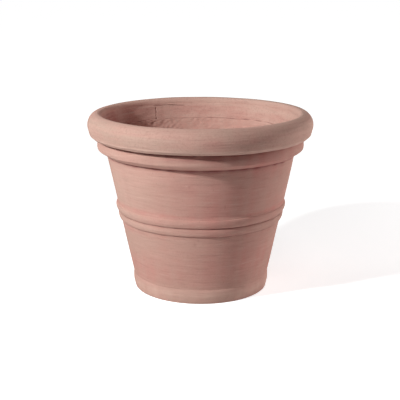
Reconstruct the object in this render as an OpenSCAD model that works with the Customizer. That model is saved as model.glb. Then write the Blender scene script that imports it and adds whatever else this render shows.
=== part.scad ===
// Large terracotta planter with a double rim, in millimetres.
// A hand-built pot: a floor slab, two wall courses and a neck course joined on bevels,
// with a foot band, two waist beads, a collar roll and a rim roll pressed into shallow seats.
// The origin is on the ground at the middle of the foot, with +Z up.

/* [Overall] */
// Height from the ground to the crown of the rim
pot_h = 397; // [380:1:430]
// Diameter over the rim roll
rim_d = 500; // [440:1:560]
// Diameter of the foot at the ground
foot_d = 299.5; // [260:0.5:340]

/* [Wall] */
// Level thickness of the wall at the ground
wall_foot_t = 18.5; // [14:0.5:24]
// Level thickness of the wall under the collar roll
wall_top_t = 15; // [12:0.5:18]
// Height of the joint between the two wall courses, at the outside
waist_z = 178.5; // [120:0.5:240]
// Rise of each bevelled joint from the inside to the outside
scarf_h = 10; // [6:1:14]
// Width of the mark that a joint leaves on the inside
seam_w = 1.6; // [0.8:0.2:3]

/* [Floor] */
// Thickness of the floor slab at the middle
floor_t = 26; // [20:1:36]
// Height of the slab's outer step, on which the wall stands
floor_step_h = 12; // [6:1:16]
// Diameter of the drain hole
drain_d = 30; // [16:1:50]
// Bevel at the upper edge of the drain hole
drain_bevel = 3; // [1:0.5:6]
// Depth of the hollow under the floor
foot_hollow_h = 3; // [2:0.5:5]
// Width of the slab's ring that rests on the ground
foot_rest_w = 24; // [15:1:40]
// Radius of the hollow face of the coil worked into the inside corner
corner_coil_r = 12; // [8:1:20]

/* [Foot band] */
// How far the foot stands out past the wall's line at the ground
foot_out = 4; // [2.5:0.1:6]
// How far the foot band stands out past the wall at the band's upper edge
foot_band_out = 1.1; // [0.6:0.1:4]
// Height of the foot band
foot_band_h = 33; // [26:0.5:45]
// Height below which the foot band draws in to the foot
foot_full_z = 17; // [12:1:20]
// Rounding of the foot band's lower edge
foot_edge_r = 2; // [1:0.5:4]
// Rounding between its lower face, which draws in, and its upright face
foot_face_r = 30; // [10:5:40]
// Height of the slope from the upright face back to the wall
foot_slope_h = 4.5; // [3:0.5:7]

/* [Waist beads] */
// Height of each of the two waist beads
bead_h = 19; // [14:0.5:26]
// How far each bead stands out from the wall
bead_out = 4.2; // [3:0.2:8]
// How far clay of the upper bead is drawn up over the wall
bead_cove_h = 7; // [5:0.5:12]
// How far that clay stands out from the wall where it leaves the bead
bead_cove_w = 1.6; // [1.4:0.1:2.6]
// How hollow it is at its middle
bead_cove_hollow = 0.3; // [0.1:0.05:0.35]

/* [Collar roll] */
// How far the collar roll stands out from the wall at its underside
collar_out = 20; // [16:0.5:26]
// Height of the collar roll
collar_h = 35.3; // [30:0.1:41]
// Height of its fullest point above its underside
collar_low_h = 17.7; // [15:0.1:21]
// How far its face draws in again under the rim
collar_tuck = 6; // [2:0.5:9]
// Lean of its lower face, in degrees
collar_slant = 12; // [4:1:18]
// Height of the slope under its lower face
collar_slope_h = 9.8; // [7:0.1:12]
// Level width of that slope
collar_slope_w = 14.7; // [11:0.1:16]
// Rounding of the slope's two edges
collar_edge_r = 5; // [2:0.5:7]

/* [Rim roll] */
// How far the rim stands out from the wall at the collar roll's underside
rim_out = 40.4; // [36:0.2:48]
// Height of the rim roll
rim_h = 52.4; // [47:0.2:60]
// Height of its fullest point above its underside
rim_low_h = 26.8; // [23:0.2:30]
// Level distance from the rim's outer edge to its crown
rim_crown_w = 22; // [18:0.2:26]
// Lean of its lower face, in degrees
rim_slant = 14.5; // [8:0.5:19]
// Height of the slope under its lower face
rim_slope_h = 6.8; // [5:0.1:9]
// Level width of that slope
rim_slope_w = 7.7; // [5:0.1:10]
// Rounding of the slope's two edges
rim_edge_r = 3; // [1:0.5:4]
// Level distance from the crown to the inner lip
lip_w = 11; // [7:0.5:16]
// Drop from the crown to the foot of the inner lip's rounding
lip_h = 13; // [8:0.2:16]

/* [Neck course] */
// Drop from the crown to the neck course's lower joint, at the inside
neck_drop = 47; // [40:1:56]
// Height of the neck course at the inside
neck_h = 28; // [20:1:34]
// Level thickness of the neck course at its upper edge
neck_t = 9.5; // [7:0.5:14]
// How far the neck course stands back from the wall at the joint
neck_step = 1.3; // [0.5:0.1:3]
// Direction in which the ends of the neck strip meet, from +X towards +Y
strip_seam_angle = 121; // [0:1:359]

/* [Joints] */
// Depth of the scored seats that the bands, beads and rolls are pressed into
seat_depth = 1.5; // [0.8:0.1:2.5]

/* [Hidden] */
$fn = 180;

// Steps in one round stretch of an outline, and steps in one rounded corner
arc_steps = 14;
corner_steps = 4;
// Largest share of a roll's lower half that stays oval above the straight face
oval_share = 0.5;
// Clay colours of the smoothed outside, the rolls and the rougher inside
wall_color = "#b98575";
roll_color = "#c4917f";
inside_color = "#a9705f";

foot_r = foot_d / 2;
rim_r = rim_d / 2;
cone_foot_r = foot_r - foot_out;
cone_top_r = rim_r - rim_out;
rim_z = pot_h - rim_h;
shoulder_z = rim_z - collar_h;
seam_z = pot_h - neck_drop;
seam_out_z = seam_z + scarf_h;
neck_top_z = seam_z + neck_h;
waist_in_z = waist_z - scarf_h;
bead_low_z = waist_z - bead_h;
bead_high_z = waist_z + bead_h;
lip_z = pot_h - lip_h;
crown_r = rim_r - rim_crown_w;
lip_r = crown_r - lip_w;
drain_r = drain_d / 2;
overcut = 1;

// The wall's two faces, and the foot of the scored seats, at height z
function wall_out(z) = cone_foot_r + (cone_top_r - cone_foot_r) * z / shoulder_z;
function wall_t(z) = wall_foot_t + (wall_top_t - wall_foot_t) * z / shoulder_z;
function wall_in(z) = wall_out(z) - wall_t(z);
function seat(z) = wall_out(z) - seat_depth;

// Height at radius r of a bevelled joint that starts at height z_in on the wall's inside
function scarf_z(r, z_in) =
    z_in + scarf_h * (r - wall_in(z_in)) / (seat(z_in + scarf_h) - wall_in(z_in));

// The neck's inner face leans out from the joint to the lip
neck_low_r = wall_in(seam_z) + neck_step;
neck_low_z = scarf_z(neck_low_r, seam_z);
function neck_in(z) =
    neck_low_r + (lip_r - neck_low_r) * (z - neck_low_z) / (lip_z - neck_low_z);
neck_out_r = neck_in(neck_top_z) + neck_t;

// Points along an oval arc, as [radius, height]
function oval_arc(centre, a, b, from, to) = [
    for (i = [0 : arc_steps])
        let (t = from + (to - from) * i / arc_steps)
        centre + [a * cos(t), b * sin(t)]
];

// Points along half an oval from p up to q that stands out by s at its middle
function half_oval(p, q, s) =
    let (
        along = (q - p) / 2,
        out = [along[1], -along[0]] / norm(along)
    )
    [
        for (i = [0 : arc_steps])
            let (t = 180 - 180 * i / arc_steps)
            (p + q) / 2 + along * cos(t) + out * s * sin(t)
    ];

// Points along a round arc from p up to q that stands out by s at its middle, or is hollow below 0
function bulge_arc(p, q, s) =
    let (
        chord = norm(q - p),
        r = (chord * chord / 4 + s * s) / (2 * s),
        along = (q - p) / chord,
        out = [along[1], -along[0]],
        centre = (p + q) / 2 + out * (s - r),
        half = asin(chord / 2 / r),
        middle = atan2(out[1], out[0])
    )
    [
        for (i = [0 : arc_steps])
            let (t = middle - half + 2 * half * i / arc_steps)
            centre + r * [cos(t), sin(t)]
    ];

// Arc of radius r in place of the corner v between p and q, where the outline turns left
function corner_arc(p, v, q, r) =
    let (
        back = (p - v) / norm(p - v),
        ahead = (q - v) / norm(q - v),
        half = acos(back * ahead) / 2,
        centre = v + (back + ahead) / norm(back + ahead) * r / sin(half),
        start = v + back * r / tan(half) - centre,
        from = atan2(start[1], start[0])
    )
    [
        for (i = [0 : corner_steps])
            let (t = from + (180 - 2 * half) * i / corner_steps)
            centre + r * [cos(t), sin(t)]
    ];

// Outer side of a roll: a slope up from the underside, a straight lower face that leans by slant,
// then an oval with half axes a and b round the middle, up to the angle to
function roll_side(middle, a, b, slant, slope, under_z, edge_r, to) =
    let (
        edge_z = under_z + slope[1],
        oval_low = asin(min(1, oval_share * (middle[1] - edge_z) / b)),
        from = -min(atan(tan(slant) * b / a), oval_low),
        face_top = middle + [a * cos(from), b * sin(from)],
        edge = [face_top[0] - (face_top[1] - edge_z) * tan(slant), edge_z],
        foot = edge - slope
    )
    concat(
        corner_arc(foot - [slope[0], 0], foot, edge, edge_r),
        corner_arc(foot, edge, face_top, edge_r),
        oval_arc(middle, a, b, from, to)
    );

// A list without its first point, for an arc that carries on from the last one
function rest(points) = [for (i = [1 : len(points) - 1]) points[i]];

module turned(outline) {
    rotate_extrude() polygon(outline);
}

// Slab with a step for the wall, a drain hole and a hollow in its underside
module floor_slab() {
    rest_in_r = seat(0) - foot_rest_w;
    color(inside_color)
    turned([
        [drain_r, foot_hollow_h],
        [rest_in_r, foot_hollow_h],
        [rest_in_r + foot_hollow_h, 0],
        [seat(0), 0],
        [seat(floor_step_h), floor_step_h],
        [wall_in(floor_step_h), floor_step_h],
        [wall_in(floor_t), floor_t],
        [drain_r + drain_bevel, floor_t],
        [drain_r, floor_t - drain_bevel]
    ]);
}

// Thin coil smoothed hollow in the inside corner, tangent to the floor and the leaning wall
module corner_coil() {
    lean = atan((wall_in(shoulder_z) - wall_in(0)) / shoulder_z);
    centre_z = floor_t + corner_coil_r;
    centre = [wall_in(centre_z) - corner_coil_r / cos(lean), centre_z];
    color(inside_color)
    turned(concat(
        [[wall_in(floor_t), floor_t]],
        oval_arc(centre, corner_coil_r, corner_coil_r, -lean, -90)
    ));
}

// Flat strip round the foot, drawn in below and sloped back to the wall above
module foot_band() {
    full_r = wall_out(foot_band_h) + foot_band_out;
    ground_in = [seat(0), 0];
    ground_out = [foot_r, 0];
    full_low = [full_r, foot_full_z];
    full_high = [full_r, foot_band_h - foot_slope_h];
    color(roll_color)
    turned(concat(
        [ground_in],
        corner_arc(ground_in, ground_out, full_low, foot_edge_r),
        corner_arc(ground_out, full_low, full_high, foot_face_r),
        [full_high],
        [[wall_out(foot_band_h), foot_band_h]],
        [[seat(foot_band_h), foot_band_h]]
    ));
}

// First wall course, standing on the slab's step
module lower_wall() {
    mark_r = wall_in(waist_in_z) + seam_w / 2;
    mark_z = waist_in_z - seam_w / 2;
    color(wall_color)
    turned([
        [wall_in(floor_step_h), floor_step_h],
        [seat(floor_step_h), floor_step_h],
        [seat(foot_band_h), foot_band_h],
        [wall_out(foot_band_h), foot_band_h],
        [wall_out(bead_low_z), bead_low_z],
        [seat(bead_low_z), bead_low_z],
        [seat(waist_z), waist_z],
        [mark_r, scarf_z(mark_r, waist_in_z)],
        [wall_in(mark_z), mark_z]
    ]);
}

// Half-oval bead whose upper edge is the groove under the next one
module lower_waist_bead() {
    color(roll_color)
    turned(concat(
        [[seat(bead_low_z), bead_low_z]],
        half_oval([wall_out(bead_low_z), bead_low_z], [wall_out(waist_z), waist_z], bead_out),
        [[seat(waist_z), waist_z]]
    ));
}

// Half-oval bead whose clay is drawn up over the wall in a hollow slope
module upper_waist_bead() {
    cove_low = [wall_out(bead_high_z) + bead_cove_w, bead_high_z];
    cove_high_z = bead_high_z + bead_cove_h;
    cove_high = [wall_out(cove_high_z), cove_high_z];
    color(roll_color)
    turned(concat(
        [[seat(waist_z), waist_z]],
        half_oval([wall_out(waist_z), waist_z], cove_low, bead_out),
        rest(bulge_arc(cove_low, cove_high, -bead_cove_hollow)),
        [[wall_out(bead_high_z), bead_high_z]],
        [[seat(bead_high_z), bead_high_z]]
    ));
}

// Second wall course, lapped over the first on a bevel, with seats for bead, collar and rim
module upper_wall() {
    color(wall_color)
    turned([
        [wall_in(waist_in_z), waist_in_z],
        [seat(waist_z), waist_z],
        [seat(bead_high_z), bead_high_z],
        [wall_out(bead_high_z), bead_high_z],
        [wall_out(shoulder_z), shoulder_z],
        [seat(shoulder_z), shoulder_z],
        [seat(seam_out_z), seam_out_z],
        [wall_in(seam_z), seam_z]
    ]);
}

// Fat coil under the rim, drawn in above and sloped to the wall below
module collar_roll() {
    centre = [wall_out(shoulder_z), shoulder_z + collar_low_h];
    high_h = collar_h - collar_low_h;
    // Upper height of the oval, such that its face has drawn in by collar_tuck at the rim
    high_b = high_h / sqrt(1 - pow((collar_out - collar_tuck) / collar_out, 2));
    rim_angle = asin(high_h / high_b);
    slope = [collar_slope_w, collar_slope_h];
    color(roll_color)
    turned(concat(
        [[seat(shoulder_z), shoulder_z]],
        roll_side(centre, collar_out, high_b, collar_slant, slope, shoulder_z, collar_edge_r,
            rim_angle),
        [[seat(rim_z), rim_z]]
    ));
}

// Inner strip of the top, leaning out, with the mark where its two ends meet
module neck_course() {
    color(inside_color)
    difference() {
        turned([
            [neck_low_r, neck_low_z],
            [seat(seam_out_z), seam_out_z],
            [neck_out_r, neck_top_z],
            [neck_in(neck_top_z), neck_top_z]
        ]);
        rotate([0, 0, strip_seam_angle])
        translate([neck_in(seam_z) - overcut, 0, seam_z])
        rotate([0, atan((neck_in(neck_top_z) - neck_in(seam_z)) / neck_h), 0])
        linear_extrude(2 * neck_h)
        polygon([
            [0, -seam_w],
            [overcut + seam_w, 0],
            [0, seam_w]
        ]);
    }
}

// Oval roll that sits on the collar and hooks over the neck course
module rim_roll() {
    middle = [crown_r, rim_z + rim_low_h];
    slope = [rim_slope_w, rim_slope_h];
    color(roll_color)
    turned(concat(
        [[seat(rim_z), rim_z]],
        roll_side(middle, rim_crown_w, rim_h - rim_low_h, rim_slant, slope, rim_z, rim_edge_r, 90),
        rest(oval_arc([crown_r, lip_z], lip_w, lip_h, 90, 180)),
        [[neck_in(neck_top_z), neck_top_z]],
        [[neck_out_r, neck_top_z]],
        [[seat(seam_out_z), seam_out_z]]
    ));
}

floor_slab();
corner_coil();
foot_band();
lower_wall();
lower_waist_bead();
upper_waist_bead();
upper_wall();
collar_roll();
neck_course();
rim_roll();
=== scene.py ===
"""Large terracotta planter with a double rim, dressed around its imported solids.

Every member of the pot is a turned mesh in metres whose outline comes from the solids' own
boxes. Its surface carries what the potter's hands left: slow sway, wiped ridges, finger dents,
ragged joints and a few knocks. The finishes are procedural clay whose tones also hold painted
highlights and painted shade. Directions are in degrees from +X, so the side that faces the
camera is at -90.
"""

import logging
import math
from collections.abc import Iterable
from dataclasses import dataclass, field, replace
from enum import Enum

import bpy
import numpy as np
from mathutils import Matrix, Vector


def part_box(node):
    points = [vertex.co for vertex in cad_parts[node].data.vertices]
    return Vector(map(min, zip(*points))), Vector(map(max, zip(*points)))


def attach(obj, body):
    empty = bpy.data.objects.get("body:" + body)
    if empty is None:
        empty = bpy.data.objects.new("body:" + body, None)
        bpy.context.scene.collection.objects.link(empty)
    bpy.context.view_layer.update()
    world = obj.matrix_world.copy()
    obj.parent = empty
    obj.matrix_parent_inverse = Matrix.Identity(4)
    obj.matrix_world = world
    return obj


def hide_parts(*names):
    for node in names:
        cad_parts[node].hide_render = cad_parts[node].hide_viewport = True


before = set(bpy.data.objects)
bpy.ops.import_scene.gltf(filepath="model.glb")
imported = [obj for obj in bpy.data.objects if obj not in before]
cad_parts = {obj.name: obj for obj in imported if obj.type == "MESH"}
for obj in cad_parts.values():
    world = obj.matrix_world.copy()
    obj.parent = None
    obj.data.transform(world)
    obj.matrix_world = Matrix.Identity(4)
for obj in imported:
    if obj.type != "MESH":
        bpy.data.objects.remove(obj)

logging.basicConfig(level=logging.INFO, format="%(message)s")
LOG = logging.getLogger("planter")
MM = 0.001
TURN = 2 * math.pi
SAME_POINT = 1e-6
NEAR_AXIS = 1e-6
TINY = 1e-12
BODY = "root"
ROUGH_LAYER = "inside"
WHITE = (1.0, 1.0, 1.0, 1.0)

Point = tuple[float, float]
Range = tuple[float, float]
Colour = tuple[float, float, float, float]
Socket = bpy.types.NodeSocket
Value = Socket | float | Colour


class Side(Enum):
    """What a stretch of an outline looks at."""

    OUTSIDE = 1
    INSIDE = -1
    JOINT = 0


class Slot(Enum):
    """The record's material slots."""

    SMOOTH = "terracotta_smooth"
    INSIDE = "terracotta_inside"


class Tone(Enum):
    """How a stretch of the clay differs in colour, partly as painted highlights and shade; each
    name is a mesh attribute too.
    """

    PALE = "pale"
    # Dark tone: dirt in joints and dents, and painted shade in crevices and on shaded sides.
    STAIN_AND_SHADE = "stain_and_shade"
    ROSY = "rosy"


class Ease(Enum):
    """How a range is carried to another."""

    SMOOTH = "SMOOTHSTEP"
    LINEAR = "LINEAR"


def node_radius(node: str) -> float:
    """Largest radius of a solid about the pot's axis."""
    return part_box(node)[1].x


def node_heights(node: str) -> Range:
    """Lowest and highest level of a solid."""
    low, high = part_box(node)
    return low.z, high.z


def smooth_step(value: np.ndarray, low: float, high: float) -> np.ndarray:
    """Eases from 0 at low to 1 at high.

    Args:
        value: what is tested.
        low: value at which the step starts.
        high: value at which the step ends.

    Returns:
        The eased share, as an array like value.
    """
    t = np.clip((value - low) / (high - low), 0.0, 1.0)
    return t * t * (3.0 - 2.0 * t)


def turn_from(angle: np.ndarray, degrees: float | np.ndarray) -> np.ndarray:
    """Turn in radians from a direction to each angle, the short way round."""
    return np.angle(np.exp(1j * (angle - np.radians(degrees))))


@dataclass(frozen=True)
class PotSizes:
    """Radii and heights that the members share, read from the solids or given as real sizes."""

    cone_low: Point
    cone_high: Point
    waist_z: float
    shoulder_z: float
    neck_top_z: float
    rim_r: float
    rim_z: float
    crown_z: float
    seat_depth: float = 1.5 * MM
    wall_foot_t: float = 18.5 * MM
    wall_top_t: float = 15.0 * MM
    scarf_h: float = 10.0 * MM
    floor_step_h: float = 12.0 * MM
    cove_h: float = 7.0 * MM
    crown_w: float = 22.0 * MM

    @classmethod
    def read(cls) -> "PotSizes":
        """Reads the levels and the wall's cone from the solids' boxes.

        Returns:
            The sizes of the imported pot.
        """
        waist_z = node_heights("lower_waist_bead")[1]
        wall_top = node_heights("upper_wall")[1]
        rim_z, crown_z = node_heights("rim_roll")
        return cls(
            cone_low=(node_radius("lower_wall") + cls.seat_depth, waist_z),
            cone_high=(node_radius("upper_wall") + cls.seat_depth, wall_top),
            waist_z=waist_z,
            shoulder_z=node_heights("collar_roll")[0],
            neck_top_z=node_heights("neck_course")[1],
            rim_r=node_radius("rim_roll"),
            rim_z=rim_z,
            crown_z=crown_z,
        )

    @property
    def lap_z(self) -> float:
        """Level of the mark that the lapped courses leave inside the waist."""
        return self.waist_z - self.scarf_h

    @property
    def seam_z(self) -> float:
        """Level of the joint inside the mouth."""
        return self.cone_high[1] - self.scarf_h

    @property
    def crown_r(self) -> float:
        """Radius of the rim's crown."""
        return self.rim_r - self.crown_w

    def out(self, z: float) -> float:
        """Radius of the wall's outer face at height z."""
        (r0, z0), (r1, z1) = self.cone_low, self.cone_high
        return r0 + (r1 - r0) * (z - z0) / (z1 - z0)

    def inner(self, z: float) -> float:
        """Radius of the wall's inner face at height z."""
        thick = self.wall_foot_t + (self.wall_top_t - self.wall_foot_t) * z / self.shoulder_z
        return self.out(z) - thick

    def seat(self, z: float) -> float:
        """Radius of the scored seats at height z."""
        return self.out(z) - self.seat_depth

    def out_at(self, z: float) -> Point:
        """Point of the wall's outer face at height z."""
        return self.out(z), z

    def inner_at(self, z: float) -> Point:
        """Point of the wall's inner face at height z."""
        return self.inner(z), z

    def seat_at(self, z: float) -> Point:
        """Point of the scored seats at height z."""
        return self.seat(z), z

    def seam_top(self) -> Point:
        """Outer end of the bevelled joint under the rim."""
        return self.seat_at(self.seam_z + self.scarf_h)


@dataclass(frozen=True)
class Grid:
    """Points of a turned surface: radii, heights, directions in radians and values of Side."""

    r: np.ndarray
    z: np.ndarray
    angle: np.ndarray
    side: np.ndarray

    def looks(self, side: Side) -> np.ndarray:
        """1 where the surface looks that way, and 0 elsewhere."""
        return (self.side == side.value).astype(float)


@dataclass(frozen=True)
class Ripple:
    """Seeded unevenness: a sum of waves that run further round the pot than up it."""

    seed: int
    depth: float
    round_wave: float
    rise_wave: float
    waves: int = 28
    spread: float = 0.55
    ring_r: float = 0.2

    def at(self, grid: Grid) -> np.ndarray:
        """Height of the unevenness.

        Args:
            grid: the points.

        Returns:
            The height in metres at each point, with self.depth as its usual size.
        """
        rng = np.random.default_rng(self.seed)
        total = np.zeros(grid.z.shape)
        for _ in range(self.waves):
            way = rng.uniform(0, TURN)
            size = TURN / self.round_wave * rng.uniform(1 - self.spread, 1 + self.spread)
            tilt = rng.uniform(0, TURN)
            rise = TURN / self.rise_wave * rng.uniform(1 - self.spread, 1 + self.spread)
            phase = rng.uniform(0, TURN)
            total += np.cos(
                size * self.ring_r * np.cos(grid.angle - way)
                + rise * (grid.z * math.cos(tilt) + grid.r * math.sin(tilt))
                + phase
            )
        return self.depth * total * math.sqrt(2.0 / self.waves)


@dataclass(frozen=True)
class RoundWaves:
    """Seeded waves that close after one turn, from low to high of them in it."""

    seed: int
    low: int
    high: int
    waves: int = 7
    height: float = 0.7

    def at(self, angle: np.ndarray) -> np.ndarray:
        """Height of the waves.

        Args:
            angle: directions in radians.

        Returns:
            The height at each direction, about 1 at most.
        """
        rng = np.random.default_rng(self.seed)
        total = np.zeros_like(angle)
        for _ in range(self.waves):
            total += np.cos(rng.integers(self.low, self.high + 1) * angle + rng.uniform(0, TURN))
        return total * math.sqrt(2.0 / self.waves) * self.height


@dataclass(frozen=True)
class Dent:
    """A shallow oval knock or finger mark on the outside; a depth below zero is a lump."""

    degrees: float
    z: float
    half_w: float
    half_h: float
    depth: float
    tone: float = 0.0

    def share(self, grid: Grid) -> np.ndarray:
        """How deep in the mark each point lies.

        Args:
            grid: the points.

        Returns:
            Shares from 0 to 1.
        """
        across = turn_from(grid.angle, self.degrees) * grid.r / self.half_w
        along = (grid.z - self.z) / self.half_h
        return np.exp(-(across**2 + along**2)) * grid.looks(Side.OUTSIDE)


@dataclass(frozen=True)
class RingSeam:
    """A joint line or crack round the inside, whole or over a part of the turn."""

    z: float
    depth: float
    half_w: float
    seed: int
    drift: float = 0.8 * MM
    from_degrees: float = 0.0
    to_degrees: float = 360.0
    climb: float = 0.0
    strength: float = 1.0
    rough: float = 0.20
    uneven: float = 0.25
    full_part: float = 0.82
    most: float = 1.5

    def share(self, grid: Grid) -> np.ndarray:
        """How deep in the joint each point lies.

        Args:
            grid: the points.

        Returns:
            Shares from 0 upwards, about 1 in the joint's middle.
        """
        turn = turn_from(grid.angle, (self.from_degrees + self.to_degrees) / 2)
        half = math.radians((self.to_degrees - self.from_degrees) / 2)
        centre = self.z + self.drift * RoundWaves(self.seed, 2, 26).at(grid.angle)
        rough = 1 + self.rough * RoundWaves(self.seed + 1, 5, 34).at(grid.angle)
        width = 1 + self.uneven * RoundWaves(self.seed + 2, 8, 50).at(grid.angle)
        if half < math.pi:
            centre = centre + self.climb * turn / half
            rough = rough * (1 - smooth_step(np.abs(turn), half * self.full_part, half))
        line = np.exp(-(((grid.z - centre) / (self.half_w * width)) ** 2))
        return self.strength * line * np.clip(rough, 0.0, self.most) * grid.looks(Side.INSIDE)


@dataclass(frozen=True)
class StripSeam:
    """The ragged upright joint where the two ends of the neck strip meet."""

    degrees: float
    low_z: float
    high_z: float
    depth: float
    half_w: float
    seed: int
    tilt_degrees: float = 0.0
    drift: float = 0.9 * MM
    uneven: float = 0.4
    least_w: float = 0.4 * MM
    wave_turn: float = 2.2
    low_end: Range = (-0.06, 0.04)
    high_end: Range = (0.98, 1.06)

    def share(self, grid: Grid) -> np.ndarray:
        """How deep in the joint each point lies.

        Args:
            grid: the points.

        Returns:
            Shares from 0 to 1.
        """
        climb = (grid.z - self.low_z) / (self.high_z - self.low_z)
        turn = turn_from(grid.angle, self.degrees + self.tilt_degrees * climb)
        wave = climb * self.wave_turn
        drift = self.drift * RoundWaves(self.seed, 2, 9).at(wave)
        width = self.half_w * (1 + self.uneven * RoundWaves(self.seed + 1, 4, 16).at(wave))
        line = np.exp(-(((turn * grid.r - drift) / np.maximum(width, self.least_w)) ** 2))
        ends = smooth_step(climb, *self.low_end) * (1 - smooth_step(climb, *self.high_end))
        return line * ends * grid.looks(Side.INSIDE)


@dataclass(frozen=True)
class ToneRing:
    """A ring round the pot, or a part of one, at which the clay takes on a tone."""

    r: float
    z: float
    reach: float
    strength: float
    degrees: float = 0.0
    half_degrees: float | None = None

    def share(self, grid: Grid) -> np.ndarray:
        """How strongly each point takes on the tone.

        Args:
            grid: the points.

        Returns:
            Shares from 0 to 1.
        """
        near = np.exp(-(((grid.r - self.r) ** 2 + (grid.z - self.z) ** 2) / self.reach**2))
        if self.half_degrees is not None:
            turn = turn_from(grid.angle, self.degrees)
            near = near * np.exp(-((turn / math.radians(self.half_degrees)) ** 2))
        return self.strength * near


@dataclass
class HandMarks:
    """All that the potter's hands and the years left on the surface, and the painted highlights
    and shade in its tones.
    """

    sizes: PotSizes
    dents: list[Dent]
    seams: list[RingSeam | StripSeam]
    rings: dict[Tone, list[ToneRing]]
    rim_lean: float = 1.2 * MM
    foot_lean: float = 0.15 * MM
    ground_sway: float = 0.35
    sway: Ripple = Ripple(11, 0.42 * MM, 0.62, 0.5, waves=9)
    crown_sway: Ripple = Ripple(12, 0.30 * MM, 0.55, 2.0, waves=9)
    wipe: Ripple = Ripple(21, 0.030 * MM, 0.13, 0.013)
    fine_wipe: Ripple = Ripple(22, 0.016 * MM, 0.08, 0.0065)
    hand: Ripple = Ripple(31, 0.16 * MM, 0.11, 0.09)
    inner_hand: Ripple = Ripple(41, 0.22 * MM, 0.075, 0.03)
    press: Ripple = Ripple(42, 0.30 * MM, 0.016, 0.009, waves=40, spread=0.75)
    ragged: RoundWaves = RoundWaves(71, 5, 50)
    ragged_part: float = 0.2
    # Levels between which a mark comes in; the press marks' are counted from the joint.
    ground_rise: Range = (0.0, 3 * MM)
    sway_rise: Range = (0.0, 60 * MM)
    foot_rise: Range = (20 * MM, 130 * MM)
    rim_rise: Range = (250 * MM, 335 * MM)
    press_end: Range = (-4 * MM, 1 * MM)
    # How far outside and inside the crown the rougher inner clay begins and is whole.
    lip_out: float = 2 * MM
    lip_in: float = 8 * MM

    def lean(self, grid: Grid) -> tuple[np.ndarray, np.ndarray]:
        """Slow movement of the whole body at each point.

        Args:
            grid: the points.

        Returns:
            How far the point moves out from the axis, and how far it moves up.
        """
        level = replace(grid, r=np.zeros_like(grid.r))
        off_ground = smooth_step(grid.z, *self.sway_rise)
        away = np.cos(grid.angle)
        outwards = self.sway.at(level) * (self.ground_sway + (1 - self.ground_sway) * off_ground)
        outwards -= self.rim_lean * smooth_step(grid.z, *self.rim_rise) * away
        outwards -= self.foot_lean * (1 - smooth_step(grid.z, *self.foot_rise)) * away
        return outwards, self.crown_sway.at(level) * off_ground

    def relief(self, grid: Grid) -> np.ndarray:
        """Height of the surface's own marks along its normal.

        Args:
            grid: the points.

        Returns:
            The height in metres, 0 on joint faces.
        """
        inside = grid.looks(Side.INSIDE)
        seam_z = self.sizes.seam_z
        below = 1 - smooth_step(grid.z, seam_z + self.press_end[0], seam_z + self.press_end[1])
        total = self.wipe.at(grid) + self.fine_wipe.at(grid)
        total += self.hand.at(grid) * (1 - inside)
        total += self.inner_hand.at(grid) * inside
        total += self.press.at(grid) * inside * below
        for mark in (*self.dents, *self.seams):
            total -= mark.depth * mark.share(grid)
        return total * (1 - grid.looks(Side.JOINT)) * smooth_step(grid.z, *self.ground_rise)

    def tones(self, grid: Grid) -> dict[str, np.ndarray]:
        """Shares of each tone, and 1 under ROUGH_LAYER for the rougher inner clay.

        Args:
            grid: the points.

        Returns:
            An array of shares from 0 to 1 for each attribute name.
        """
        ragged = 1 - self.ragged_part + self.ragged_part * self.ragged.at(grid.angle)
        share = {tone: np.zeros_like(grid.r) for tone in Tone}
        for tone, rings in self.rings.items():
            for ring in rings:
                share[tone] = np.maximum(share[tone], ring.share(grid) * ragged)
        for seam in self.seams:
            share[Tone.STAIN_AND_SHADE] = np.maximum(share[Tone.STAIN_AND_SHADE], seam.share(grid))
        for dent in self.dents:
            tone = Tone.STAIN_AND_SHADE if dent.tone > 0 else Tone.PALE
            share[tone] = np.maximum(share[tone], abs(dent.tone) * dent.share(grid))
        shares = {tone.value: np.clip(values, 0, 1) for tone, values in share.items()}
        crown_r = self.sizes.crown_r
        lip = smooth_step(-grid.r, -(crown_r + self.lip_out), -(crown_r - self.lip_in))
        lip = lip * (grid.z > self.sizes.neck_top_z)
        shares[ROUGH_LAYER] = np.maximum(grid.looks(Side.INSIDE), lip)
        return shares


@dataclass
class Outline:
    """A closed outline in the plane of radius and height, run round with the clay on its left."""

    points: list[Point] = field(default_factory=list)
    sides: list[Side] = field(default_factory=list)

    def add(self, side: Side, *points: Point) -> "Outline":
        """Adds a stretch. A point that repeats the last one is left out, but a shown stretch
        takes the last one over.

        Args:
            side: what the stretch looks at.
            points: its points as (radius, height).

        Returns:
            The outline itself, so that calls can follow each other.
        """
        for point in points:
            if self.points and math.dist(point, self.points[-1]) < SAME_POINT:
                if side is not Side.JOINT:
                    self.sides[-1] = side
            else:
                self.points.append(point)
                self.sides.append(side)
        if len(self.points) > 2 and math.dist(self.points[0], self.points[-1]) < SAME_POINT:
            last = self.sides.pop()
            self.points.pop()
            if self.sides[0] is Side.JOINT:
                self.sides[0] = last
        return self

    def normals(self) -> np.ndarray:
        """Outward directions, taken along the shown stretch alone at its ends.

        Returns:
            A unit vector of radius and height for each point.
        """
        plane = np.array(self.points)
        shown = [side is not Side.JOINT for side in self.sides]
        count = len(plane)
        out = np.zeros_like(plane)
        for i in range(count):
            back, ahead = (i - 1) % count, (i + 1) % count
            if shown[i]:
                back = back if shown[back] else i
                ahead = ahead if shown[ahead] else i
            along = plane[ahead] - plane[back]
            out[i] = (along[1], -along[0])
        return out / np.maximum(np.linalg.norm(out, axis=1), TINY)[:, None]


def evenly(start: float, length: float, count: int) -> list[float]:
    """Values from start over length, in count even steps."""
    return [start + length * i / count for i in range(count + 1)]


def round_points(centre: Point, a: float, b: float, angles: Iterable[float]) -> list[Point]:
    """Points of an oval with half axes a and b, at angles in radians."""
    return [(centre[0] + a * math.cos(t), centre[1] + b * math.sin(t)) for t in angles]


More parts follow.
